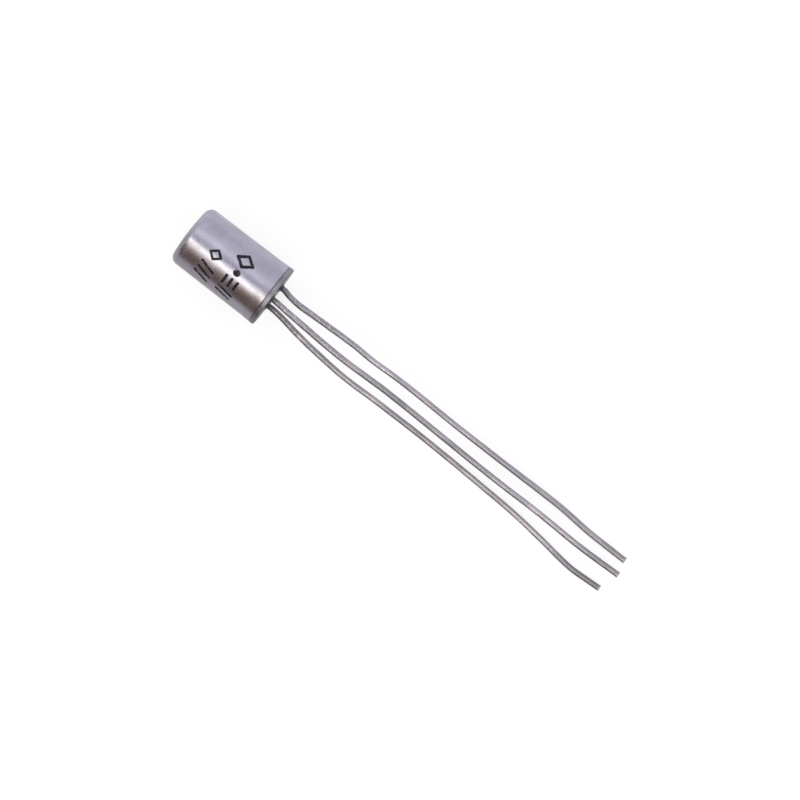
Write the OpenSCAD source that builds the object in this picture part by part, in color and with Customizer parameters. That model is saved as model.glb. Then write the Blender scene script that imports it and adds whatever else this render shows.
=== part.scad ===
// Germanium alloy-junction transistor in a small round metal can, lying on its side.
// Millimetres, +Z up. The can's axis runs along X, with the closed end towards -X and the
// three wire leads towards +X. Z = 0 is the surface that it lies on.

/* [Can] */
// Outer diameter of the can
can_d = 5.9; // [5.4:0.1:6.4]
// Length of the can from its closed end to the header's rim
can_len = 9.05; // [8:0.05:10]
// Wall thickness of the drawn can
can_wall = 0.25; // [0.15:0.01:0.35]
// Radius of the corner between the side and the closed end
corner_r = 0.75; // [0.5:0.05:1]
// Height of the shallow dome of the closed end
end_dome = 0.12; // [0.05:0.01:0.2]

/* [Header] */
// How far the header's rim stands out beyond the can's side
rim_step = 0.08; // [0.02:0.01:0.15]
// Thickness of the header's rim
rim_len = 0.45; // [0.35:0.05:0.8]
// Bevel on the rim's two edges
rim_bevel = 0.08; // [0.03:0.01:0.12]
// How much the rim's edge stands up in its middle, between the bevels
rim_crown = 0.02; // [0.01:0.005:0.04]
// Length of the header's skirt inside the can
skirt_len = 1.35; // [0.8:0.05:1.6]
// Radial clearance between the skirt and the can
skirt_clear = 0.02; // [0.01:0.01:0.05]
// Thickness of the header's wall around the glass
eyelet_wall = 0.58; // [0.4:0.02:0.8]
// How far the glass stops short of the skirt's inner end
glass_recess = 0.1; // [0:0.05:0.3]
// Height of the glass where it creeps up each lead
meniscus_h = 0.25; // [0.15:0.01:0.35]
// Width of that glass collar around each lead, at its foot
meniscus_w = 0.18; // [0.08:0.01:0.2]

/* [Leads] */
// Diameter of the tinned wire
lead_d = 0.52; // [0.4:0.01:0.6]
// Diameter of the circle that the three leads stand on
pin_circle_d = 2.3; // [2.1:0.05:2.5]
// Angle of the base lead around the can's axis, from the upright
pin_turn = 10; // [0:1:30]
// Length of the emitter lead outside the rim
emitter_len = 39; // [37.5:0.1:42]
// Length of the base lead outside the rim
base_len = 39.3; // [37.5:0.1:42]
// Length of the collector lead outside the rim
collector_len = 38.7; // [37.5:0.1:42]
// Height of the base lead's tip above the surface
base_tip_lift = 0.45; // [0:0.05:1]
// Straight end of each lead
tip_len = 2.2; // [1.6:0.1:2.4]
// Length of the emitter and collector posts inside the glass
post_len = 1.1; // [0.8:0.1:1.4]

/* [Crystal and its mounting] */
// Gap from the glass to the base tab
tab_gap = 1.8; // [1.5:0.1:2.2]
// Thickness of the nickel base tab
tab_t = 0.15; // [0.1:0.01:0.2]
// Margin of the tab around the crystal
tab_margin = 0.25; // [0.15:0.05:0.35]
// Length of the base post that is welded to the tab
weld_len = 1.4; // [1:0.1:1.8]
// Side of the square germanium crystal
crystal_side = 1.5; // [1.3:0.05:1.6]
// Thickness of the germanium crystal
crystal_t = 0.15; // [0.1:0.01:0.2]
// Gap between the crystal's edge and the base post
crystal_gap = 0.12; // [0.05:0.01:0.2]
// Diameter of the window in the tab behind the crystal
window_d = 1.1; // [0.9:0.05:1.2]
// Thickness of the solder between the tab and the crystal
solder_t = 0.04; // [0.02:0.01:0.06]
// Diameter of the emitter's indium dot
emitter_dot_d = 0.6; // [0.4:0.05:0.8]
// Height of the emitter's indium dot
emitter_dot_h = 0.22; // [0.15:0.01:0.3]
// Diameter of the collector's indium dot
collector_dot_d = 1; // [0.8:0.05:1.2]
// Height of the collector's indium dot
collector_dot_h = 0.3; // [0.2:0.01:0.4]
// Diameter of the fine wires from the dots to their posts
whisker_d = 0.12; // [0.08:0.01:0.16]
// How deep each fine wire is sunk into its dot
whisker_sink = 0.1; // [0.05:0.01:0.12]

/* [Hidden] */
$fn = 64;
lead_sides = 16;
whisker_sides = 10;
corner_steps = 8;

// A cut runs this far past the faces that it opens
past = 1;

// The rim, the glass and the can's inside
can_r = can_d / 2;
rim_r = can_r + rim_step;
body_len = can_len + rim_len;
inside_r = can_r - can_wall;
skirt_r = inside_r - skirt_clear;
glass_r = skirt_r - eyelet_wall;
glass_len = rim_len + skirt_len - glass_recess;

// The can rests on its side and on the rim's crown, so it tips by the rim's step over that span
crown_x = rim_len / 2;
rest_span = body_len - end_dome - corner_r - crown_x;
rest_tilt = atan(rim_step / rest_span);
rim_face_z = rim_r * cos(rest_tilt) + crown_x * sin(rest_tilt);

// The origin lies under the middle of the whole length
centre_x = (max(emitter_len, base_len, collector_len) - body_len) / 2;

// Angles of the leads around the can's axis, from the base lead
lead_r = lead_d / 2;
pin_r = pin_circle_d / 2;
emitter_turn = -120;
base_turn = 0;
collector_turn = 120;

// The exact round parts of each lead hold the ends of its bent part, which is a little thinner
root_spare = 0.05;
root_end = meniscus_h + root_spare;
lead_lap = 0.2;
bent_thinning = 0.01;
bent_r = lead_r - bent_thinning;
ring_gap = 0.75;
heading_gap = 0.1;

// Each lead's sideways sway from its pin, as [distance from the rim, sway]
emitter_sway = [[root_end, 0], [1.1, -0.16], [2.2, -0.27], [4, -0.21], [8.2, -0.1],
    [10.3, -0.17], [13.8, -0.09], [20.5, -0.23], [26, -0.25], [30.5, -0.24], [32.2, -0.3],
    [34.9, -0.49], [39, -0.53]];
base_sway = [[root_end, 0], [1.8, -0.1], [7.8, -0.4], [13.2, -0.32], [24.8, -0.59],
    [30.4, -0.6], [35, -0.73], [39.2, -0.65]];
collector_sway = [[root_end, 0], [1.6, -0.1], [3.4, -0.39], [5.5, -0.65], [9.2, -0.92],
    [13.2, -0.87], [18.8, -0.9], [26, -1.15], [29, -1.32], [32.3, -1.67], [34.8, -1.99],
    [36, -2.05], [38.8, -1.91]];

// Each lead's fall from its pin to the surface, as [distance from the rim, share left]
emitter_fall = [[1.5, 1], [13, 0.72], [26, 0.24], [34.5, 0]];
base_fall = [[1.5, 1], [11, 0.76], [22, 0.36], [35, 0]];
collector_fall = [[1.5, 1], [12, 0.7], [24, 0.26], [34.5, 0]];

// Places inside the can, measured from the rim's face
post_end = glass_len + post_len;
tab_near = glass_len + tab_gap;
tab_len = crystal_side + 2 * tab_margin;
crystal_x = tab_near + tab_len / 2;
crystal_z = pin_r - lead_r - crystal_gap - crystal_side / 2;
tab_top = pin_r + lead_r;
tab_bottom = crystal_z - crystal_side / 2 - tab_margin;
tab_corner = 0.2;
solder_face = lead_r - solder_t;
crystal_face = solder_face - crystal_t;
whisker_r = whisker_d / 2;
whisker_steps = 12;
whisker_rise = 0.35;
whisker_run = 0.6;

// Helper functions

function unit(v) = v / norm(v);

// Slope of the smooth curve through a table at its point k, level at both ends
function slope(table, k) = k == 0 || k == len(table) - 1 ? 0
    : (table[k + 1][1] - table[k - 1][1]) / (table[k + 1][0] - table[k - 1][0]);

// Value at x of the smooth curve through a table of [x, value] points
function eased(table, x) = let (
    k = max([for (i = [0:len(table) - 2]) if (i == 0 || table[i][0] <= x) i]),
    gap = table[k + 1][0] - table[k][0],
    u = min(max((x - table[k][0]) / gap, 0), 1)
) table[k][1] * (1 + 2 * u) * pow(1 - u, 2)
    + table[k + 1][1] * (3 - 2 * u) * u * u
    + gap * slope(table, k) * u * pow(1 - u, 2)
    - gap * slope(table, k + 1) * u * u * (1 - u);

// Points of an arc from angle a to angle b
function arc(centre, r, a, b, steps) = [
    for (i = [0:steps]) centre + r * [cos(a + (b - a) * i / steps), sin(a + (b - a) * i / steps)]
];

function bezier(p, u) = pow(1 - u, 3) * p[0] + 3 * pow(1 - u, 2) * u * p[1]
    + 3 * (1 - u) * u * u * p[2] + pow(u, 3) * p[3];

// Place of a pin in the header's own frame, where the base pin is on +Z
function pin_place(turn) = [-pin_r * sin(turn), pin_r * cos(turn)];

// Place of a pin in the frame of the surface, where Y is level
function pin_offset(turn) = [-pin_r * sin(turn + pin_turn), pin_r * cos(turn + pin_turn)];

// Centre line of a lead at distance x from the rim, in the frame of the whole part
function lead_point(turn, sway, fall, tip_z, x) = let (
    pin = pin_offset(turn),
    straight_z = rim_face_z + pin[1] / cos(rest_tilt) + x * tan(rest_tilt)
) [
    x - centre_x,
    pin[0] + eased(sway, x),
    tip_z + (straight_z - tip_z) * eased(fall, x)
];

// Sideways heading of a lead at distance x from the rim
function lead_heading(sway, x) = atan((eased(sway, x + heading_gap) - eased(sway, x)) / heading_gap);

// Helper modules

// The can's axis is X, its rim's face is at x = 0 and it leans on the surface
module lying() {
    translate([-centre_x, 0, rim_face_z])
        rotate([0, -rest_tilt, 0])
            children();
}

// As lying(), turned so that the base pin is on +Z
module header_frame() {
    lying()
        rotate([pin_turn, 0, 0])
            children();
}

// A body of revolution about X, from an outline of [distance into the can, radius]
module turned(outline) {
    rotate([0, -90, 0])
        rotate_extrude()
            polygon([for (p = outline) [p[1], p[0]]]);
}

// A rod along X from distance a to distance b into the can
module rod(a, b, r) {
    translate([-b, 0, 0])
        rotate([0, 90, 0])
            cylinder(h = b - a, r = r);
}

module at_pin(turn) {
    translate([0, pin_place(turn)[0], pin_place(turn)[1]])
        children();
}

// A tube swept along points, with its rings square to the path
module swept(points, r, sides) {
    last = len(points) - 1;
    rings = [
        for (i = [0:last]) let (
            ahead = unit(points[min(i + 1, last)] - points[max(i - 1, 0)]),
            side = unit(cross([0, 0, 1], ahead)),
            up = cross(ahead, side)
        )
            for (k = [0:sides - 1])
                points[i] + r * (side * cos(360 * k / sides) + up * sin(360 * k / sides))
    ];
    walls = [
        for (i = [0:last - 1], k = [0:sides - 1]) let (
            here = i * sides + k,
            beside = i * sides + (k + 1) % sides
        )
            each [[here, here + sides, beside], [beside, here + sides, beside + sides]]
    ];
    start_cap = [for (k = [0:sides - 1]) k];
    end_cap = [for (k = [sides - 1:-1:0]) last * sides + k];
    polyhedron(points = rings, faces = concat([start_cap], walls, [end_cap]), convexity = 4);
}

// One lead: its post and root in the glass, its bent length, and its straight tip
module lead(turn, length, sway, fall, tip_z, inner_end) {
    tip_start = length - tip_len;
    bent_len = tip_start - root_end;
    rings = ceil(bent_len / ring_gap);
    heading = lead_heading(sway, tip_start);
    tip_root = lead_point(turn, sway, fall, tip_z, tip_start);
    header_frame()
        at_pin(turn)
            rod(-root_end, inner_end, lead_r);
    swept(concat(
        [lead_point(turn, sway, fall, tip_z, root_end - lead_lap)],
        [for (i = [0:rings]) lead_point(turn, sway, fall, tip_z, root_end + bent_len * i / rings)],
        [tip_root + lead_lap * [cos(heading), sin(heading), 0]]
    ), bent_r, lead_sides);
    translate(tip_root)
        rotate([0, 90, heading])
            cylinder(h = tip_len, r = lead_r);
}

// A shallow cap of indium on the face y = 0, rising towards +Y, with the wire's socket in it
module dot(d, h) {
    ball_r = (d * d / 4 + h * h) / (2 * h);
    difference() {
        intersection() {
            translate([0, h - ball_r, 0])
                sphere(r = ball_r);
            rotate([-90, 0, 0])
                cylinder(h = h + past, r = ball_r + past);
        }
        translate([0, h - whisker_sink, 0])
            rotate([-90, 0, 0])
                cylinder(h = whisker_sink + past, r = whisker_r);
    }
}

// A fine wire from the socket in a dot to the end of a post; out is +1 or -1 along Y
module whisker(dot_top, out, turn) {
    pin = pin_place(turn);
    socket = [-crystal_x, dot_top - out * whisker_sink, crystal_z];
    mouth = [-crystal_x, dot_top, crystal_z];
    bead_top = [-post_end - lead_r, pin[0], pin[1]];
    post_face = [-post_end, pin[0], pin[1]];
    control = [
        mouth,
        mouth + [0, out * whisker_rise, 0],
        bead_top - [whisker_run, 0, 0],
        bead_top
    ];
    swept(concat(
        [socket],
        [for (i = [0:whisker_steps]) bezier(control, i / whisker_steps)],
        [post_face]
    ), whisker_r, whisker_sides);
}

// A round bead of solder on the end of a post, around the fine wire
module bead(turn) {
    at_pin(turn)
        difference() {
            intersection() {
                translate([-post_end, 0, 0])
                    sphere(r = lead_r);
                rod(post_end, post_end + lead_r + past, lead_r + past);
            }
            rod(post_end - past, post_end + lead_r + past, whisker_r);
        }
}

// Can and header

// Outline of one face of the can's end, from the axis to the side
function cup_outline(r, depth, corner, dome) = let (
    flat_r = r - corner,
    dome_r = (flat_r * flat_r + dome * dome) / (2 * dome),
    dome_turn = asin(flat_r / dome_r)
) concat(
    arc([depth - dome_r, 0], dome_r, 0, dome_turn, corner_steps),
    arc([depth - dome - corner, flat_r], corner, dome_turn, 90, corner_steps)
);

module can() {
    outer = cup_outline(can_r, body_len, corner_r, end_dome);
    inner = cup_outline(inside_r, body_len - can_wall, corner_r - can_wall, end_dome);
    color([0.70, 0.69, 0.73])
        lying()
            difference() {
                turned(concat(outer, [[rim_len, can_r], [rim_len, 0]]));
                turned(concat(inner, [[rim_len - past, inside_r], [rim_len - past, 0]]));
            }
}

module header_eyelet() {
    color([0.55, 0.54, 0.57])
        lying()
            turned([
                [0, glass_r],
                [0, rim_r - rim_bevel],
                [rim_bevel, rim_r - rim_crown],
                [crown_x, rim_r],
                [rim_len - rim_bevel, rim_r - rim_crown],
                [rim_len, rim_r - rim_bevel],
                [rim_len, skirt_r],
                [rim_len + skirt_len, skirt_r],
                [rim_len + skirt_len, glass_r]
            ]);
}

module glass_seal() {
    color([0.16, 0.17, 0.18])
        header_frame()
            difference() {
                union() {
                    rod(0, glass_len, glass_r);
                    for (turn = [emitter_turn, base_turn, collector_turn])
                        at_pin(turn)
                            rotate([0, 90, 0])
                                cylinder(h = meniscus_h, r1 = lead_r + meniscus_w, r2 = lead_r);
                }
                for (turn = [emitter_turn, base_turn, collector_turn])
                    at_pin(turn)
                        rod(-past, glass_len + past, lead_r);
            }
}

// Leads

module emitter_lead() {
    color([0.62, 0.61, 0.63])
        lead(emitter_turn, emitter_len, emitter_sway, emitter_fall, lead_r, post_end);
}

module base_lead() {
    color([0.62, 0.61, 0.63])
        lead(base_turn, base_len, base_sway, base_fall, lead_r + base_tip_lift,
            tab_near + weld_len);
}

module collector_lead() {
    color([0.62, 0.61, 0.63])
        lead(collector_turn, collector_len, collector_sway, collector_fall, lead_r, post_end);
}

// Crystal and its mounting

// Nickel strip beside the base post, with a window behind the crystal
module base_tab() {
    color([0.72, 0.70, 0.66])
        header_frame()
            difference() {
                translate([-tab_near - tab_len, lead_r + tab_t, 0])
                    rotate([90, 0, 0])
                        linear_extrude(tab_t)
                            tab_outline();
                translate([-crystal_x, 0, crystal_z])
                    rotate([-90, 0, 0])
                        cylinder(h = lead_r + tab_t + past, d = window_d);
            }
}

module tab_outline() {
    translate([tab_corner, tab_bottom])
        square([tab_len - 2 * tab_corner, tab_top - tab_bottom]);
    translate([0, tab_bottom + tab_corner])
        square([tab_len, tab_top - tab_bottom - 2 * tab_corner]);
    for (x = [tab_corner, tab_len - tab_corner], z = [tab_bottom + tab_corner, tab_top - tab_corner])
        translate([x, z])
            circle(r = tab_corner);
}

// Thin square of solder with the tab's window through it
module base_solder() {
    color([0.78, 0.78, 0.80])
        header_frame()
            difference() {
                translate([-crystal_x - crystal_side / 2, solder_face, crystal_z - crystal_side / 2])
                    cube([crystal_side, solder_t, crystal_side]);
                translate([-crystal_x, 0, crystal_z])
                    rotate([-90, 0, 0])
                        cylinder(h = lead_r + past, d = window_d);
            }
}

module germanium_crystal() {
    color([0.35, 0.36, 0.38])
        header_frame()
            translate([-crystal_x - crystal_side / 2, crystal_face, crystal_z - crystal_side / 2])
                cube([crystal_side, crystal_t, crystal_side]);
}

module emitter_dot() {
    color([0.80, 0.80, 0.82])
        header_frame()
            translate([-crystal_x, solder_face, crystal_z])
                dot(emitter_dot_d, emitter_dot_h);
}

module collector_dot() {
    color([0.80, 0.80, 0.82])
        header_frame()
            translate([-crystal_x, crystal_face, crystal_z])
                rotate([0, 0, 180])
                    dot(collector_dot_d, collector_dot_h);
}

module emitter_whisker() {
    color([0.75, 0.73, 0.68])
        header_frame()
            whisker(solder_face + emitter_dot_h, 1, emitter_turn);
}

module collector_whisker() {
    color([0.75, 0.73, 0.68])
        header_frame()
            whisker(crystal_face - collector_dot_h, -1, collector_turn);
}

module emitter_bead() {
    color([0.78, 0.78, 0.80])
        header_frame()
            bead(emitter_turn);
}

module collector_bead() {
    color([0.78, 0.78, 0.80])
        header_frame()
            bead(collector_turn);
}

can();
header_eyelet();
glass_seal();
emitter_lead();
base_lead();
collector_lead();
base_tab();
base_solder();
germanium_crystal();
emitter_dot();
collector_dot();
emitter_whisker();
collector_whisker();
emitter_bead();
collector_bead();
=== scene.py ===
import math

import bpy
from mathutils import Matrix, Vector, noise


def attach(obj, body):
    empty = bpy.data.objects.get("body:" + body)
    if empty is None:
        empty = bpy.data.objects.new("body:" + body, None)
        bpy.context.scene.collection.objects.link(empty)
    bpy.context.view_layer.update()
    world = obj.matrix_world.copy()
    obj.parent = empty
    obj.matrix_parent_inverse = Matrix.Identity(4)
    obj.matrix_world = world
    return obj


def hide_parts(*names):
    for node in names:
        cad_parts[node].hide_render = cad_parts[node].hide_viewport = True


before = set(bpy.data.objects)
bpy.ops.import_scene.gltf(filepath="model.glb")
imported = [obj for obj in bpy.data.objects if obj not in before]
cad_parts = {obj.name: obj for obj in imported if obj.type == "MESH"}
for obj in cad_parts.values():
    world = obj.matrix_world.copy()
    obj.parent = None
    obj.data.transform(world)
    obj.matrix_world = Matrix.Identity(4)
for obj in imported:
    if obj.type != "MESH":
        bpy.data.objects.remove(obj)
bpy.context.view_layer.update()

MM = 0.001

# Sizes, as in the part's source
CAN_R = 2.95
CAN_WALL = 0.25
LIP_X = 0.46
BODY_LEN = 9.5
CORNER_R = 0.75
END_DOME = 0.12
RIM_R = 3.03
RIM_LEN = 0.45
RIM_BEVEL = 0.08
RIM_CROWN = 0.02
SKIRT_R = 2.68
SKIRT_END = 1.8
GLASS_R = 2.1
GLASS_LEN = 1.7
MENISCUS_H = 0.25
LEAD_R = 0.26
LEAD_START = 0.3
PIN_R = 1.15
PIN_TURN = 10
TIP_LEN = 2.2
CENTRE_X = 14.9
REST_DROP = 0.08
REST_SPAN = 8.405

# Frame of the can's axis: the rim's face is at x = 0 and the can reaches to -X
TILT = math.atan(REST_DROP / REST_SPAN)
RIM_FACE_Z = RIM_R * math.cos(TILT) + RIM_LEN / 2 * math.sin(TILT)
AXIS_PLACE = Vector((-CENTRE_X, 0, RIM_FACE_Z))
AXIS_TURN = Matrix.Rotation(-TILT, 3, "Y")

# Each lead as turn of its pin, length, inner end, height of its tip, sway and fall
LEADS = {
    "emitter_lead": (-120, 39, 2.8, 0.26, [
        (0.3, 0), (1.1, -0.16), (2.2, -0.27), (4, -0.21), (8.2, -0.1), (10.3, -0.17),
        (13.8, -0.09), (20.5, -0.23), (26, -0.25), (30.5, -0.24), (32.2, -0.3),
        (34.9, -0.49), (39, -0.53),
    ], [(1.5, 1), (13, 0.72), (26, 0.24), (34.5, 0)]),
    "base_lead": (0, 39.3, 4.9, 0.71, [
        (0.3, 0), (1.8, -0.1), (7.8, -0.4), (13.2, -0.32), (24.8, -0.59), (30.4, -0.6),
        (35, -0.73), (39.2, -0.65),
    ], [(1.5, 1), (11, 0.76), (22, 0.36), (35, 0)]),
    "collector_lead": (120, 38.7, 2.8, 0.26, [
        (0.3, 0), (1.6, -0.1), (3.4, -0.39), (5.5, -0.65), (9.2, -0.92), (13.2, -0.87),
        (18.8, -0.9), (26, -1.15), (29, -1.32), (32.3, -1.67), (34.8, -1.99), (36, -2.05),
        (38.8, -1.91),
    ], [(1.5, 1), (12, 0.7), (24, 0.26), (34.5, 0)]),
}


# Mesh helpers


def on_axis(point):
    """A point of the can's own frame, in the frame of the surface."""
    return AXIS_PLACE + AXIS_TURN @ Vector(point)


def arc(centre, radius, start, end, steps):
    """Points (depth, radius) of an arc, with its angles in degrees."""
    points = []
    for i in range(steps + 1):
        a = math.radians(start + (end - start) * i / steps)
        points.append((centre[0] + radius * math.cos(a), centre[1] + radius * math.sin(a)))
    return points


def lathe(profile, sides, closed=False, centre=(0, 0), swell=None):
    """A body turned about the can's axis, from (depth, radius) points."""
    verts, rings = [], []
    for depth, radius in profile:
        ring = []
        count = 1 if radius < 1e-6 else sides
        for k in range(count):
            a = 2 * math.pi * k / sides
            r = radius
            if swell and count > 1:
                r += swell(depth, a)
            y = centre[0] + r * math.sin(a)
            z = centre[1] + r * math.cos(a)
            ring.append(len(verts))
            verts.append(on_axis((-depth, y, z)) * MM)
        rings.append(ring)
    pairs = list(zip(rings, rings[1:]))
    if closed:
        pairs.append((rings[-1], rings[0]))
    faces = []
    for one, two in pairs:
        for k in range(sides):
            n = (k + 1) % sides
            if len(one) == 1:
                faces.append((one[0], two[k], two[n]))
            elif len(two) == 1:
                faces.append((one[k], two[0], one[n]))
            else:
                faces.append((one[k], two[k], two[n], one[n]))
    return verts, faces


def joined(parts):
    """Several (verts, faces) as one."""
    verts, faces = [], []
    for part_verts, part_faces in parts:
        first = len(verts)
        verts += part_verts
        faces += [tuple(i + first for i in face) for face in part_faces]
    return verts, faces


def piece(name, shape, node, material, sharp=40):
    """Makes one piece from (verts, faces) in place of a CAD node."""
    mesh = bpy.data.meshes.new(name)
    mesh.from_pydata(shape[0], [], shape[1])
    mesh.validate()
    mesh.shade_smooth()
    mesh.set_sharp_from_angle(angle=math.radians(sharp))
    mesh.materials.append(material)
    made = bpy.data.objects.new(name, mesh)
    bpy.context.scene.collection.objects.link(made)
    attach(made, "root")
    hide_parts(node)


def smooth(value, start, end):
    """A soft step that is 0 at the start and 1 at the end."""
    u = min(max((value - start) / (end - start), 0), 1)
    return u * u * (3 - 2 * u)


def eased(table, x):
    """Value at x of the smooth curve through a table, level at both ends."""
    def slope(k):
        if k in (0, len(table) - 1):
            return 0
        return (table[k + 1][1] - table[k - 1][1]) / (table[k + 1][0] - table[k - 1][0])

    k = max(i for i in range(len(table) - 1) if i == 0 or table[i][0] <= x)
    gap = table[k + 1][0] - table[k][0]
    u = min(max((x - table[k][0]) / gap, 0), 1)
    start = table[k][1] * (1 + 2 * u) * (1 - u) ** 2 + gap * slope(k) * u * (1 - u) ** 2
    end = table[k + 1][1] * (3 - 2 * u) * u * u - gap * slope(k + 1) * u * u * (1 - u)
    return start + end


# Material helpers


class Graph:
    """The node tree of one material or world."""

    def __init__(self, name, kind=bpy.data.materials):
        self.owner = kind.new(name)
        self.owner.use_nodes = True
        self.tree = self.owner.node_tree
        self.tree.nodes.clear()

    def node(self, kind, inputs=None, **settings):
        made = self.tree.nodes.new(kind)
        for key, value in settings.items():
            setattr(made, key, value)
        for key, value in (inputs or {}).items():
            if isinstance(value, bpy.types.NodeSocket):
                self.tree.links.new(value, made.inputs[key])
            else:
                made.inputs[key].default_value = value
        return made

    def places(self, stretch=(1, 1, 1)):
        """Place on the object in millimetres, in the can's own frame."""
        coords = self.node("ShaderNodeTexCoord").outputs["Object"]
        back = AXIS_TURN.transposed() @ AXIS_PLACE
        made = self.node("ShaderNodeMapping", {
            "Vector": coords,
            "Location": -back,
            "Rotation": (0, TILT, 0),
            "Scale": (1000, 1000, 1000),
        }).outputs["Vector"]
        if stretch == (1, 1, 1):
            return made
        return self.vector("MULTIPLY", made, stretch)

    def vector(self, operation, a, b=(0, 0, 0)):
        made = self.node("ShaderNodeVectorMath", {0: a, 1: b}, operation=operation)
        return made.outputs["Value" if operation in ("DOT_PRODUCT", "LENGTH") else "Vector"]

    def split(self, vector):
        """The X, Y and Z of a vector."""
        return self.node("ShaderNodeSeparateXYZ", {"Vector": vector}).outputs

    def scaled(self, vector, factor):
        made = self.node("ShaderNodeVectorMath", {0: vector, "Scale": factor}, operation="SCALE")
        return made.outputs["Vector"]

    def math(self, operation, a, b, c=0.0, clamp=False):
        made = self.node("ShaderNodeMath", {0: a, 1: b, 2: c}, operation=operation)
        made.use_clamp = clamp
        return made.outputs["Value"]

    def noise(self, vector, scale, detail=2.0, roughness=0.5):
        return self.node("ShaderNodeTexNoise", {
            "Vector": vector,
            "Scale": scale,
            "Detail": detail,
            "Roughness": roughness,
        }).outputs["Fac"]

    def between(self, value, low, high, out_low=0.0, out_high=1.0):
        """Value carried smoothly from one range to another."""
        return self.node("ShaderNodeMapRange", {
            "Value": value,
            "From Min": low,
            "From Max": high,
            "To Min": out_low,
            "To Max": out_high,
        }, interpolation_type="SMOOTHSTEP").outputs["Result"]

    def mix(self, factor, a, b):
        made = self.node("ShaderNodeMix", data_type="RGBA")
        for key, value in (("Factor", factor), ("A", a), ("B", b)):
            socket = [s for s in made.inputs if s.name == key and s.enabled][0]
            if isinstance(value, bpy.types.NodeSocket):
                self.tree.links.new(value, socket)
            else:
                socket.default_value = value
        return [s for s in made.outputs if s.enabled][0]

    def ramp(self, share, stops):
        """A colour ramp through the stops, whose places run from 0 to 1."""
        ramp = self.node("ShaderNodeValToRGB", {"Fac": share})
        marks = ramp.color_ramp.elements
        while len(marks) > 1:
            marks.remove(marks[0])
        for i, (place, tone) in enumerate(stops):
            mark = marks[0] if i == 0 else marks.new(place)
            mark.position = place
            mark.color = (*tone, 1)
        return ramp.outputs["Color"]

    def bump(self, height, distance, below=None):
        """A bump with its height in millimetres, on top of the one below."""
        inputs = {"Height": height, "Distance": distance * MM}
        if below:
            inputs["Normal"] = below
        return self.node("ShaderNodeBump", inputs).outputs["Normal"]

    def finish(self, **inputs):
        """Ends the tree in one Principled shader."""
        shader = self.node("ShaderNodeBsdfPrincipled", {
            key.replace("_", " "): value for key, value in inputs.items()
        })
        self.node("ShaderNodeOutputMaterial", {"Surface": shader.outputs["BSDF"]})
        return self.owner


def rgb(r, g, b):
    return (r, g, b, 1)


# Marking: worn ink strokes of plain shapes


# Each stroke as the places (around, along) of its ends on the can's side, and its half width
STROKES = [
    # two slanted bars
    ((3.1, 3.05), (2.8, 4.5), 0.145),
    ((2.55, 3.0), (2.25, 4.45), 0.145),
    # three short bars, one above the other
    ((1.0, 3.15), (1.8, 3.15), 0.145),
    ((1.0, 3.75), (1.8, 3.75), 0.145),
    ((1.0, 4.35), (1.8, 4.35), 0.145),
    # a round spot
    ((0.3, 3.7), (0.3, 3.8), 0.3),
    # a square on its corner
    ((-0.98, 2.95), (-1.58, 3.75), 0.145),
    ((-1.58, 3.75), (-0.98, 4.55), 0.145),
    ((-0.98, 4.55), (-0.38, 3.75), 0.145),
    ((-0.38, 3.75), (-0.98, 2.95), 0.145),
    # three slanted bars
    ((3.0, 5.55), (2.55, 6.95), 0.145),
    ((2.35, 5.5), (1.9, 6.9), 0.145),
    ((1.7, 5.45), (1.25, 6.85), 0.14),
    # a small square on its corner
    ((0.62, 6.2), (0.15, 5.65), 0.12),
    ((0.15, 5.65), (-0.32, 6.2), 0.12),
    ((-0.32, 6.2), (0.15, 6.75), 0.12),
    ((0.15, 6.75), (0.62, 6.2), 0.12),
]


INK_WOBBLE = 0.12
INK_BLUR = 0.06


def ink_mask(g, places):
    """How much ink lies on the can's side at each place."""
    split = g.split(places)
    level = g.math("MULTIPLY", split["Y"], -1)
    around = g.math("MULTIPLY", g.math("ARCTAN2", level, split["Z"]), CAN_R)
    along = g.math("MULTIPLY", split["X"], -1)
    spot = g.node("ShaderNodeCombineXYZ", {"X": around, "Y": along}).outputs["Vector"]
    wobble = g.noise(places, 2.6, 3)
    total = 0.0
    for start, end, half_width in STROKES:
        start, end = Vector((*start, 0)), Vector((*end, 0))
        run = end - start
        offset = g.vector("SUBTRACT", spot, start)
        share = g.math("ADD", g.vector("DOT_PRODUCT", offset, run / run.length_squared), 0, clamp=True)
        nearest = g.scaled(run, share)
        apart = g.vector("LENGTH", g.vector("SUBTRACT", offset, nearest))
        edge = g.math("MULTIPLY_ADD", wobble, INK_WOBBLE, g.math("SUBTRACT", apart, INK_WOBBLE / 4))
        ink = g.between(edge, half_width + INK_BLUR, half_width)
        total = g.math("MAXIMUM", total, ink)
    worn = g.between(g.noise(places, 2.2, 4, 0.7), 0.34, 0.48)
    return g.math("MULTIPLY", total, g.math("MULTIPLY_ADD", worn, 0.3, 0.7))


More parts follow.
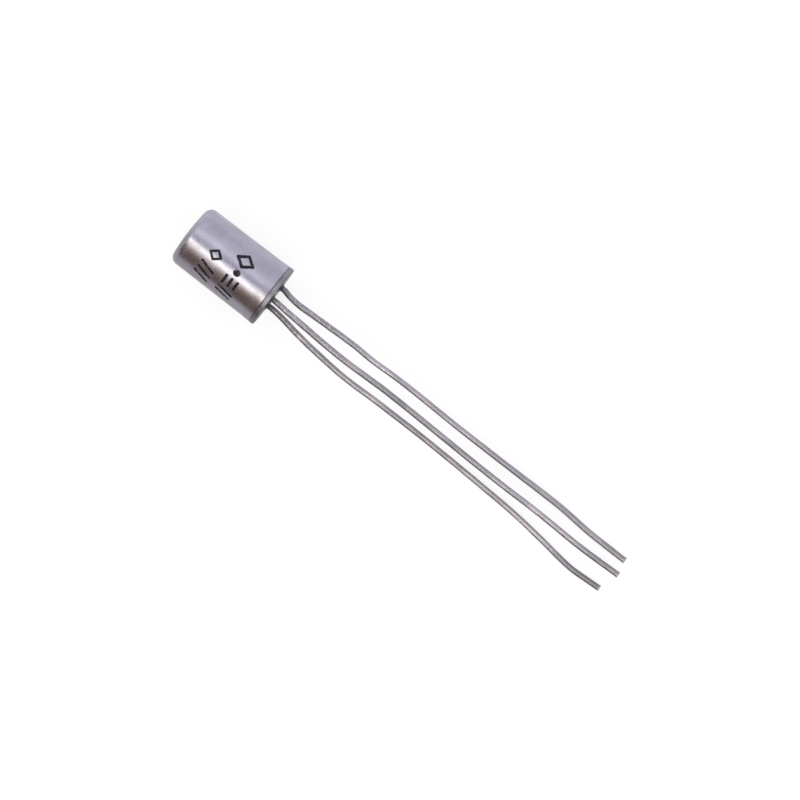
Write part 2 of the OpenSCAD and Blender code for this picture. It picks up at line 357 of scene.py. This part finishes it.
def can_material():
    g = Graph("can_metal")
    places = g.places()
    drawn = g.places((0.16, 1, 1))
    patches = g.noise(places, 0.42, 3, 0.55)
    streaks = g.noise(drawn, 1.6, 4, 0.6)
    grain = g.noise(g.places((0.5, 1, 1)), 14, 2)
    tone = g.mix(g.between(patches, 0.34, 0.66), rgb(0.415, 0.405, 0.455), rgb(0.49, 0.48, 0.565))
    tone = g.mix(g.between(streaks, 0.42, 0.72, 0, 0.6), tone, rgb(0.39, 0.375, 0.40))
    tone = g.mix(g.between(grain, 0.35, 0.75, 0, 0.34), tone, rgb(0.35, 0.34, 0.37))
    scuffs = g.noise(g.places((1.4, 0.5, 0.5)), 1.7, 5, 0.7)
    tone = g.mix(g.between(scuffs, 0.6, 0.72, 0, 0.5), tone, rgb(0.54, 0.53, 0.58))
    # Painted shade: the can is darker at its lip, in the groove at the seam with the rim
    lip = g.between(g.split(places)["X"], -0.7, -0.48, 0, 0.22)
    tone = g.mix(lip, tone, rgb(0.2, 0.19, 0.22))
    ink = ink_mask(g, places)
    tone = g.mix(ink, tone, rgb(0.007, 0.006, 0.009))
    shine = g.between(g.noise(places, 1.1, 4, 0.6), 0.3, 0.7, 0.23, 0.33)
    shine = g.math("MULTIPLY_ADD", ink, 0.25, shine)
    solid = g.math("SUBTRACT", 1, ink)
    gloss = g.math("MULTIPLY_ADD", ink, -0.3, 0.5)
    height = g.math("MULTIPLY_ADD", streaks, 0.5, g.math("MULTIPLY", grain, 0.35))
    normal = g.bump(height, 0.004)
    normal = g.bump(g.noise(places, 0.5, 1), 0.02, below=normal)
    return g.finish(Base_Color=tone, Metallic=solid, Roughness=shine, Specular_IOR_Level=gloss,
                    Normal=normal)


def rim_material():
    g = Graph("rim_metal")
    places = g.places()
    turned = g.noise(g.places((5, 0.4, 0.4)), 2, 3, 0.6)
    patches = g.noise(places, 1.3, 3, 0.6)
    tone = g.mix(g.between(patches, 0.35, 0.65), rgb(0.245, 0.235, 0.26), rgb(0.335, 0.32, 0.355))
    tone = g.mix(g.between(turned, 0.4, 0.7, 0, 0.4), tone, rgb(0.18, 0.17, 0.185))
    depth = g.split(places)["X"]
    # Painted shade: the rim is darker in the groove at its seam with the can
    painted_seam_shade = g.between(depth, -0.33, -0.44, 0, 0.2)
    tone = g.mix(painted_seam_shade, tone, rgb(0.08, 0.075, 0.085))
    # Painted shade: the rim's front face and its edge are darker
    painted_front_shade = g.between(depth, -0.07, -0.01, 0, 0.5)
    tone = g.mix(painted_front_shade, tone, rgb(0.09, 0.085, 0.095))
    middle = g.vector("LENGTH", g.vector("MULTIPLY", places, (0, 1, 1)))
    rings = g.noise(g.node("ShaderNodeCombineXYZ", {"X": middle}).outputs["Vector"], 9, 4, 0.7)
    near_glass = g.between(middle, 2.3, 2.12, 0, 0.5)
    tone = g.mix(g.between(rings, 0.45, 0.7, 0, 0.3), tone, rgb(0.14, 0.135, 0.145))
    tone = g.mix(near_glass, tone, rgb(0.06, 0.058, 0.062))
    shine = g.between(patches, 0.3, 0.7, 0.36, 0.5)
    normal = g.bump(turned, 0.006)
    normal = g.bump(rings, 0.01, below=normal)
    return g.finish(Base_Color=tone, Metallic=1.0, Roughness=shine, Normal=normal)


def glass_material():
    g = Graph("seal_glass")
    places = g.places()
    swirl = g.noise(places, 1.6, 3, 0.6)
    tone = g.mix(g.between(swirl, 0.3, 0.7), rgb(0.02, 0.02, 0.022), rgb(0.05, 0.048, 0.052))
    specks = g.between(g.noise(places, 9, 1), 0.68, 0.76)
    tone = g.mix(specks, tone, rgb(0.12, 0.12, 0.125))
    shine = g.between(swirl, 0.3, 0.7, 0.3, 0.42)
    normal = g.bump(g.noise(places, 2.5, 2), 0.015)
    return g.finish(Base_Color=tone, Roughness=shine, Normal=normal, Coat_Weight=0.2,
                    Coat_Roughness=0.1)


# Brightness of each lead's colour by the distance from the rim
LEAD_TONE_SPAN = 40
LEAD_TONES = {
    "emitter_wire": [(0, 0.72), (2, 0.82), (5, 0.72), (8, 0.76), (11, 0.97), (14, 0.98),
                     (18, 0.83), (26, 0.85), (30, 0.75), (38, 0.71)],
    "base_wire": [(0, 0.76), (2, 0.83), (4, 0.75), (6.5, 0.8), (9, 0.74), (15, 0.74), (19, 0.78),
                  (24, 0.68), (27.5, 1), (31, 0.97), (34, 0.84), (36.5, 0.73)],
    "collector_wire": [(0, 0.6), (2, 0.65), (3.5, 0.74), (5, 0.8), (6.5, 0.76), (8, 0.85),
                       (12, 0.93), (15, 0.91), (18, 0.8), (25, 0.9), (29, 0.98), (32, 1),
                       (34, 0.82), (36, 0.66), (38.5, 0.72)],
}


def wire_material(name):
    g = Graph(name)
    places = g.places()
    long = g.places((0.25, 1, 1))
    tints = g.noise(g.places((0.3, 0.3, 0.3)), 1.1, 2)
    smears = g.noise(long, 2.4, 4, 0.65)
    flecks = g.noise(g.places((0.6, 1, 1)), 3.2, 3, 0.6)
    tone = g.mix(g.between(tints, 0.38, 0.62), rgb(0.43, 0.43, 0.475), rgb(0.50, 0.465, 0.505))
    tone = g.mix(g.between(smears, 0.4, 0.68, 0, 0.6), tone, rgb(0.34, 0.335, 0.35))
    bands = g.noise(g.places((0.1, 2.2, 2.2)), 1, 1)
    tone = g.mix(g.between(bands, 0.52, 0.64, 0, 0.4), tone, rgb(0.29, 0.28, 0.32))
    tone = g.mix(g.between(bands, 0.48, 0.36, 0, 0.35), tone, rgb(0.68, 0.65, 0.68))
    tone = g.mix(g.between(flecks, 0.62, 0.76, 0, 0.5), tone, rgb(0.71, 0.68, 0.72))
    along = g.split(places)["X"]
    # Darker and lighter stretches along each lead, from the table above
    worn = [(place / LEAD_TONE_SPAN, (v, v, v)) for place, v in LEAD_TONES[name]]
    tone = g.vector("MULTIPLY", tone, g.ramp(g.math("DIVIDE", along, LEAD_TONE_SPAN), worn))
    rough_part = g.between(along, 11, 4, 0.15, 1)
    grain = g.noise(g.places((0.8, 1, 1)), 5.5, 3, 0.6)
    dark_grain = g.math("MULTIPLY", rough_part, g.between(grain, 0.5, 0.36, 0, 0.6))
    pale_grain = g.math("MULTIPLY", rough_part, g.between(grain, 0.55, 0.68, 0, 0.7))
    tone = g.mix(dark_grain, tone, rgb(0.21, 0.21, 0.215))
    tone = g.mix(pale_grain, tone, rgb(0.68, 0.67, 0.68))
    near = g.between(along, 1.2, 0.2, 0, 0.5)
    tone = g.mix(near, tone, rgb(0.13, 0.125, 0.13))
    facing = g.node("ShaderNodeTexCoord").outputs["Normal"]
    cut = g.between(g.vector("DOT_PRODUCT", facing, (1, 0, 0)), 0.42, 0.55)
    tone = g.mix(cut, tone, rgb(0.55, 0.53, 0.54))
    shine = g.between(smears, 0.3, 0.7, 0.4, 0.54)
    normal = g.bump(smears, 0.012)
    normal = g.bump(flecks, 0.012, below=normal)
    return g.finish(Base_Color=tone, Metallic=1.0, Roughness=shine, Normal=normal)


def plain_metal(name, pale, dark, low, high, scale, depth, stretch=(1, 1, 1)):
    """A metal with patches of two tones and a fine bump."""
    g = Graph(name)
    grain = g.noise(g.places(stretch), scale, 4, 0.6)
    patches = g.noise(g.places(), scale / 5, 2)
    tone = g.mix(g.between(patches, 0.35, 0.65), pale, dark)
    tone = g.mix(g.between(grain, 0.45, 0.75, 0, 0.4), tone, dark)
    shine = g.between(grain, 0.3, 0.7, low, high)
    return g.finish(Base_Color=tone, Metallic=1.0, Roughness=shine, Normal=g.bump(grain, depth))


# Can and header


TAPER = 0.03
TAPER_END = 8.6
FLARE = 0.035
FLARE_START = 0.7
FLARE_END = 1.5
UNEVENNESS = 0.004
LIP_R = 0.05
SIDE_STEPS = 40
ROUND_SIDES = 192
EDGE_BREAK = 0.03
# Radii of the rings of points within the rim's flat front and back
FRONT_RINGS = (2.4, 2.7)
BACK_RING = 2.8


def can_swell(depth, a):
    """A slight taper, a flare at the open end and a slight unevenness of the drawn metal."""
    uneven = noise.noise(Vector((depth * 0.3, math.sin(a), math.cos(a))))
    taper = TAPER * (1 - smooth(depth, LIP_X, TAPER_END))
    flare = FLARE * (1 - smooth(depth, FLARE_START, FLARE_END))
    return taper + flare + UNEVENNESS * uneven


def can_shape():
    flat_r = CAN_R - CORNER_R
    dome_r = (flat_r ** 2 + END_DOME ** 2) / (2 * END_DOME)
    turn = math.degrees(math.asin(flat_r / dome_r))
    side_end = BODY_LEN - END_DOME - CORNER_R
    outer = arc((BODY_LEN - dome_r, 0), dome_r, 0, turn, 14)[:-1]
    outer += arc((side_end, flat_r), CORNER_R, turn, 90, 24)
    side_step = (side_end - LIP_X - LIP_R) / SIDE_STEPS
    side = [(side_end - side_step * i, CAN_R) for i in range(1, SIDE_STEPS + 1)]
    lip = arc((LIP_X + LIP_R, CAN_R - LIP_R), LIP_R, 90, 180, 5)[1:]
    inside_r = CAN_R - CAN_WALL
    inner = [(LIP_X, inside_r + EDGE_BREAK / 3), (LIP_X + EDGE_BREAK, inside_r)]
    inner += [(side_end - 0.01, inside_r)]
    inner += arc((side_end, flat_r), CORNER_R - CAN_WALL, 90, turn, 10)
    inner += arc((BODY_LEN - CAN_WALL - dome_r, 0), dome_r, turn * 0.95, 0, 8)
    return lathe(outer + side + lip + inner, ROUND_SIDES, swell=can_swell)


def eyelet_shape():
    """The header's ring: a crowned rim with rounded edges, and a skirt with broken ones."""
    corner = []
    for i in range(7):
        a = math.radians(90 * i / 6)
        rise = (RIM_BEVEL - RIM_CROWN) * math.sin(a)
        corner.append((RIM_BEVEL * (1 - math.cos(a)), RIM_R - RIM_BEVEL + rise))
    crown = []
    reach = RIM_LEN / 2 - RIM_BEVEL
    for i in range(1, 8):
        u = -1 + 2 * i / 8
        crown.append((RIM_LEN / 2 + reach * u, RIM_R - RIM_CROWN + RIM_CROWN * (1 - u * u)))
    back = [(RIM_LEN - depth, radius) for depth, radius in reversed(corner)]
    profile = [(0, GLASS_R)] + [(0, radius) for radius in FRONT_RINGS] + corner + crown + back
    profile += [(RIM_LEN, BACK_RING), (RIM_LEN, SKIRT_R), (SKIRT_END - EDGE_BREAK, SKIRT_R)]
    profile += [(SKIRT_END, SKIRT_R - EDGE_BREAK), (SKIRT_END, GLASS_R + EDGE_BREAK)]
    profile += [(SKIRT_END - EDGE_BREAK, GLASS_R)]
    return lathe(profile, ROUND_SIDES, closed=True)


def pin_place(turn):
    """Place of a lead in the header, in Y and Z."""
    a = math.radians(turn + PIN_TURN)
    return -PIN_R * math.sin(a), PIN_R * math.cos(a)


GLASS_SINK = 0.03
GLASS_EDGE = 0.25
COLLAR_SPREAD = 0.26
COLLAR_ROOT = 0.2
COLLAR_LAP = 0.02


def glass_shape():
    """The plug of glass with its slightly raised face and a collar around each lead."""
    face = []
    for i in range(25):
        r = GLASS_R * i / 24
        sink = GLASS_SINK * smooth(r, GLASS_R, GLASS_R - GLASS_EDGE) * (0.6 + 0.4 * r / GLASS_R)
        face.append((sink, r))
    back = [(GLASS_LEN, GLASS_R), (GLASS_LEN + 0.01, GLASS_R - 0.05), (GLASS_LEN, 0)]
    parts = [lathe(face + back, 128)]
    for turn, *_ in LEADS.values():
        collar = []
        for i in range(13):
            h = i / 12
            collar.append((-MENISCUS_H * h, LEAD_R + COLLAR_SPREAD * (1 - h) ** 2.4))
        collar += [(-MENISCUS_H, LEAD_R - COLLAR_LAP), (COLLAR_ROOT, LEAD_R - COLLAR_LAP)]
        collar += [(COLLAR_ROOT, LEAD_R + 0.2)]
        parts.append(lathe(collar, 48, closed=True, centre=pin_place(turn)))
    return joined(parts)


# Leads


LEAD_SIDES = 28
LEAD_STEP = 0.14
POST_ROUND = 0.04
# Distances from the tip at which the snipped end has a ring of points
SNIP_STEPS = [0.28, 0.22, 0.17, 0.14, 0.1, 0.05, 0]
# Half thickness of the snipped edge, and how fast the wedge opens behind it
SNIP_EDGE = 0.08
SNIP_SLOPE = 1.15
LUMP = 0.010
SMALL_LUMP = 0.002


def lead_centres(name):
    """Centre points of a lead and how far along it each one is, from its post to its tip."""
    turn, length, inner, tip_z, sway, fall = LEADS[name]
    pin_y, pin_z = pin_place(turn)

    def at(x):
        straight = RIM_FACE_Z + pin_z / math.cos(TILT) + x * math.tan(TILT)
        z = tip_z + (straight - tip_z) * eased(fall, x)
        return Vector((x - CENTRE_X, pin_y + eased(sway, x), z))

    tip_start = length - TIP_LEN
    heading = math.atan((eased(sway, tip_start + 0.1) - eased(sway, tip_start)) / 0.1)
    way = Vector((math.cos(heading), math.sin(heading), 0))
    inside = [-inner, -inner + POST_ROUND]
    inside += [-inner + (inner + LEAD_START) * i / 12 for i in range(1, 12)]
    bent_len = tip_start - LEAD_START
    count = round(bent_len / LEAD_STEP)
    outside = [LEAD_START + bent_len * i / count for i in range(count + 1)]
    spots = [(at(x), x) for x in inside + outside]
    steps = [LEAD_STEP * i for i in range(1, 14)] + [TIP_LEN - left for left in SNIP_STEPS]
    spots += [(at(tip_start) + way * s, tip_start + s) for s in steps]
    return spots


# Small flats left by pliers on each lead, as distance from the rim, half length and depth
NICKS = {
    "emitter_lead": [(2.8, 0.14, 0.03), (12.4, 0.1, 0.02), (31.6, 0.16, 0.025)],
    "base_lead": [(2.95, 0.16, 0.035), (7.7, 0.1, 0.02), (26.2, 0.14, 0.02)],
    "collector_lead": [(4.0, 0.16, 0.03), (14.6, 0.12, 0.02), (21.5, 0.1, 0.02)],
}
# Thickness of the tinning that the CAD leads leave out, by distance from the rim
COATS = {
    "emitter_lead": [(0.3, 0.012), (3, 0.026), (9, 0.006), (20, 0.008), (30, 0.02), (39, 0.016)],
    "base_lead": [(0.3, 0.012), (3, 0.026), (9, 0.022), (20, 0.012), (30, 0.008), (39, 0.01)],
    "collector_lead": [(0.3, 0.012), (3, 0.026), (9, 0.012), (20, 0.006), (30, 0.004), (39, 0.01)],
}
NICK_WAY = Vector((0, -math.sin(math.radians(12)), math.cos(math.radians(12))))


def lead_shape(name, seed):
    """A tinned wire with a slightly uneven coat, small flats and an end snipped to a wedge."""
    spots = lead_centres(name)
    length = LEADS[name][1]
    verts, faces = [], []
    for i, (centre, x) in enumerate(spots):
        ahead = (spots[min(i + 1, len(spots) - 1)][0] - spots[max(i - 1, 0)][0]).normalized()
        side = Vector((0, 0, 1)).cross(ahead).normalized()
        up = ahead.cross(side)
        wedge = SNIP_EDGE + SNIP_SLOPE * (length - x)
        coat = eased(COATS[name], x)
        flat = [depth * smooth(abs(x - at), reach, reach * 0.6) for at, reach, depth in NICKS[name]]
        cut = LEAD_R + 0.02 - max(flat) if max(flat) > 0 else 1
        for k in range(LEAD_SIDES):
            a = 2 * math.pi * k / LEAD_SIDES
            spot = Vector((x * 0.9 + seed, math.cos(a) * 0.8, math.sin(a) * 0.8))
            lump = coat + LUMP * noise.noise(spot) + SMALL_LUMP * noise.noise(spot * 2.1)
            r = LEAD_R + (lump if x > LEAD_START else 0)
            if i == 0:
                r = LEAD_R - POST_ROUND
            height = min(max(r * math.sin(a), -wedge), wedge)
            across = side * r * math.cos(a) + up * height
            across -= NICK_WAY * max(across.dot(NICK_WAY) - cut, 0)
            spot = centre + across
            spot.z = max(spot.z, 0)
            verts.append(spot * MM)
    for i in range(len(spots) - 1):
        ring, above = i * LEAD_SIDES, (i + 1) * LEAD_SIDES
        for k in range(LEAD_SIDES):
            n = (k + 1) % LEAD_SIDES
            faces.append((ring + k, ring + n, above + n, above + k))
    faces.append(tuple(range(LEAD_SIDES - 1, -1, -1)))
    last = (len(spots) - 1) * LEAD_SIDES
    faces.append(tuple(last + k for k in range(LEAD_SIDES)))
    return verts, faces


piece("can_shell", can_shape(), "can", can_material())
piece("header_ring", eyelet_shape(), "header_eyelet", rim_material())
piece("glass_plug", glass_shape(), "glass_seal", glass_material())
for number, lead_name in enumerate(LEADS):
    shape = lead_shape(lead_name, 7.3 * number)
    name = lead_name.replace("lead", "wire")
    piece(name, shape, lead_name, wire_material(name), sharp=32)


# Pieces inside the can keep their CAD shapes


# Each metal as its pale and dark tone, least and most roughness, and the grain's scale and depth
METALS = {
    "nickel_strip": (rgb(0.56, 0.53, 0.47), rgb(0.44, 0.42, 0.38), 0.2, 0.34, 9, 0.003, (0.2, 1, 1)),
    "solder": (rgb(0.62, 0.62, 0.64), rgb(0.45, 0.45, 0.47), 0.22, 0.4, 7, 0.004),
    "germanium": (rgb(0.24, 0.25, 0.27), rgb(0.17, 0.175, 0.19), 0.18, 0.32, 16, 0.003),
    "indium": (rgb(0.62, 0.62, 0.65), rgb(0.5, 0.5, 0.53), 0.34, 0.5, 11, 0.004),
    "fine_wire": (rgb(0.6, 0.57, 0.51), rgb(0.48, 0.46, 0.42), 0.2, 0.3, 20, 0.002),
}
INSIDE = {
    "base_tab": "nickel_strip",
    "base_solder": "solder",
    "germanium_crystal": "germanium",
    "emitter_dot": "indium",
    "collector_dot": "indium",
    "emitter_whisker": "fine_wire",
    "collector_whisker": "fine_wire",
    "emitter_bead": "solder",
    "collector_bead": "solder",
}
metals = {metal: plain_metal(metal, *looks) for metal, looks in METALS.items()}
for node_name, metal in INSIDE.items():
    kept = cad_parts[node_name]
    kept.data.materials.clear()
    kept.data.materials.append(metals[metal])


# Floor


def stage_piece(name, verts, faces, material):
    mesh = bpy.data.meshes.new(name)
    mesh.from_pydata(verts, [], faces)
    mesh.shade_smooth()
    mesh.materials.append(material)
    made = bpy.data.objects.new(name, mesh)
    bpy.context.scene.collection.objects.link(made)
    return made


def floor_material():
    """White paper that glows and takes a soft shadow, with a painted contact shadow: its glow is
    dimmer close to the object.
    """
    g = Graph("paper_floor")
    # Painted shadow: the glow is lowered where the object hides the floor's open sky
    open_sky = g.node("ShaderNodeAmbientOcclusion", {"Distance": 0.012}, samples=12).outputs["AO"]
    glow_with_painted_shadow = g.node("ShaderNodeMapRange", {
        "Value": open_sky,
        "From Min": 0.02,
        "From Max": 0.46,
        "To Min": 0.4,
        "To Max": 0.84,
    }).outputs["Result"]
    bright = g.node("ShaderNodeEmission", {"Color": rgb(1, 1, 1), "Strength": glow_with_painted_shadow})
    paper = g.node("ShaderNodeBsdfDiffuse", {"Color": rgb(0.22, 0.22, 0.22)})
    both = g.node("ShaderNodeAddShader", {0: bright.outputs[0], 1: paper.outputs[0]})
    g.node("ShaderNodeOutputMaterial", {"Surface": both.outputs[0]})
    return g.owner


FLOOR_SIDE = 3
floor_corners = [(-FLOOR_SIDE, -FLOOR_SIDE, 0), (FLOOR_SIDE, -FLOOR_SIDE, 0)]
floor_corners += [(FLOOR_SIDE, FLOOR_SIDE, 0), (-FLOOR_SIDE, FLOOR_SIDE, 0)]
stage_piece("floor", floor_corners, [(0, 1, 2, 3)], floor_material())


# Light tent, a half round of paper along the can with one bright strip, and a mat below it
# Both are seen only in reflections. Their tones go by angle from straight up, and by place.


TENT_R = 0.5
TENT_HALF = 0.7
TENT_TONES = [
    (-90, (0.87, 0.85, 0.94)),
    (-64, (0.84, 0.82, 0.92)),
    (-45, (0.90, 0.89, 1.00)),
    (-30, (1.16, 1.15, 1.24)),
    (-18, (1.26, 1.25, 1.34)),
    (-9, (0.81, 0.80, 0.90)),
    (2, (0.46, 0.47, 0.535)),
    (12, (0.93, 0.93, 0.94)),
    (19.5, (2.60, 2.58, 2.52)),
    (23.5, (3.75, 3.70, 3.58)),
    (29.5, (3.75, 3.56, 3.29)),
    (35, (1.80, 1.62, 1.42)),
    (42, (0.83, 0.69, 0.58)),
    (50, (0.46, 0.355, 0.30)),
    (62, (0.235, 0.17, 0.13)),
    (76, (0.185, 0.134, 0.105)),
    (90, (0.20, 0.15, 0.14)),
]
# Width of the mat over which its tones change, and the tones by distance towards the strip
MAT_SPAN = 0.2
MAT_LIFT = 0.00001
# Near the object these tones hold a painted shadow of the object on the floor that the metal reflects
MAT_TONES = [
    (-0.09, (0.86, 0.84, 0.91)),
    (-0.03, (0.91, 0.89, 0.97)),
    (-0.012, (0.97, 0.95, 1.03)),
    (-0.004, (0.80, 0.78, 0.84)),
    (-0.001, (0.74, 0.715, 0.72)),
    (0.003, (0.67, 0.64, 0.645)),
    (0.008, (0.62, 0.585, 0.61)),
    (0.015, (0.64, 0.59, 0.61)),
    (0.03, (0.53, 0.48, 0.49)),
    (0.07, (0.28, 0.235, 0.24)),
]
END_TONE = (0.76, 0.73, 0.77, 1)
# Strength of the brightest tone that a ramp can hold
GLOW = 4


def glow(g, tone, strength=1.0):
    light = g.node("ShaderNodeEmission", {"Color": tone, "Strength": strength})
    g.node("ShaderNodeOutputMaterial", {"Surface": light.outputs[0]})
    return g.owner


def tones(g, share, stops):
    """A ramp through the stops, with tones that are shares of GLOW."""
    return g.ramp(share, [(place, [part / GLOW for part in tone]) for place, tone in stops])


def tent_material():
    g = Graph("tent_paper")
    split = g.split(g.node("ShaderNodeTexCoord").outputs["Object"])
    level = g.math("MULTIPLY", split["Y"], -1)
    share = g.math("MULTIPLY_ADD", g.math("ARCTAN2", level, split["Z"]), 1 / math.pi, 0.5)
    # the part of the strip that the can shows lies a little nearer the top than the wires' part
    lean = g.between(split["X"], -0.03, -0.044, 0, 0.055)
    lean = g.math("SUBTRACT", lean, g.between(split["X"], -0.06, -0.075, 0, 0.014))
    share = g.math("MULTIPLY_ADD", lean, g.between(share, 0.53, 0.62), share)
    return glow(g, tones(g, share, [(a / 180 + 0.5, tone) for a, tone in TENT_TONES]), GLOW)


def mat_material():
    g = Graph("mat_paper")
    split = g.split(g.node("ShaderNodeTexCoord").outputs["Object"])
    share = g.math("MULTIPLY_ADD", split["Y"], -1 / MAT_SPAN, 0.5)
    return glow(g, tones(g, share, [(y / MAT_SPAN + 0.5, tone) for y, tone in MAT_TONES]), GLOW)


def end_material():
    return glow(Graph("end_paper"), END_TONE)


def reflected_only(made):
    """Hides a piece of the stage from all but glossy rays."""
    made.visible_camera = False
    made.visible_diffuse = False
    made.visible_shadow = False
    made.visible_transmission = False


TENT_STEPS = 96
tent_verts, tent_faces = [], []
for i in range(TENT_STEPS + 1):
    a = math.pi * (i / TENT_STEPS - 0.5)
    for x in (-TENT_HALF, TENT_HALF):
        tent_verts.append((x, -TENT_R * math.sin(a), TENT_R * math.cos(a)))
for i in range(TENT_STEPS):
    tent_faces.append((2 * i, 2 * i + 1, 2 * i + 3, 2 * i + 2))
reflected_only(stage_piece("tent", tent_verts, tent_faces, tent_material()))
ends = [tuple(range(0, 2 * TENT_STEPS + 2, 2)), tuple(range(1, 2 * TENT_STEPS + 3, 2))]
reflected_only(stage_piece("tent_ends", tent_verts, ends, end_material()))
mat_corners = ((-1, -1), (1, -1), (1, 1), (-1, 1))
mat_verts = [(x * TENT_HALF, y * TENT_R, MAT_LIFT) for x, y in mat_corners]
reflected_only(stage_piece("mat", mat_verts, [(0, 1, 2, 3)], mat_material()))


# Lamp and world


lamp_data = bpy.data.lights.new("soft_lamp", "AREA")
lamp_data.shape = "RECTANGLE"
lamp_data.size = 0.5
lamp_data.size_y = 0.3
lamp_data.energy = 0.35
lamp = bpy.data.objects.new("soft_lamp", lamp_data)
bpy.context.scene.collection.objects.link(lamp)
lamp.location = (0, -0.21, 0.45)
lamp.rotation_euler = (math.radians(25), 0, 0)
lamp.visible_glossy = False

# Light of the world on the object. Camera, glossy and transmission rays see plain white.
WORLD_LIGHT = 0.75
g = Graph("white", bpy.data.worlds)
path = g.node("ShaderNodeLightPath").outputs
shown = g.math("MAXIMUM", path["Is Camera Ray"], path["Is Glossy Ray"])
shown = g.math("MAXIMUM", shown, path["Is Transmission Ray"])
power = g.node("ShaderNodeMapRange", {"Value": shown, "To Min": WORLD_LIGHT, "To Max": 1.0})
background = g.node("ShaderNodeBackground", {
    "Color": rgb(1, 1, 1),
    "Strength": power.outputs["Result"],
})
g.node("ShaderNodeOutputWorld", {"Surface": background.outputs[0]})
bpy.context.scene.world = g.owner


# Camera straight above, turned as in the photograph


camera_data = bpy.data.cameras.new("camera")
camera_data.sensor_width = 36
camera_data.lens = 288.3
camera_data.clip_start = 0.01
camera_data.clip_end = 10
camera = bpy.data.objects.new("camera", camera_data)
bpy.context.scene.collection.objects.link(camera)
camera.location = (-0.000482, -0.000359, 0.570)
camera.rotation_euler = (0, 0, math.radians(37.66))
bpy.context.scene.camera = camera
bpy.context.scene.view_settings.view_transform = "Standard"
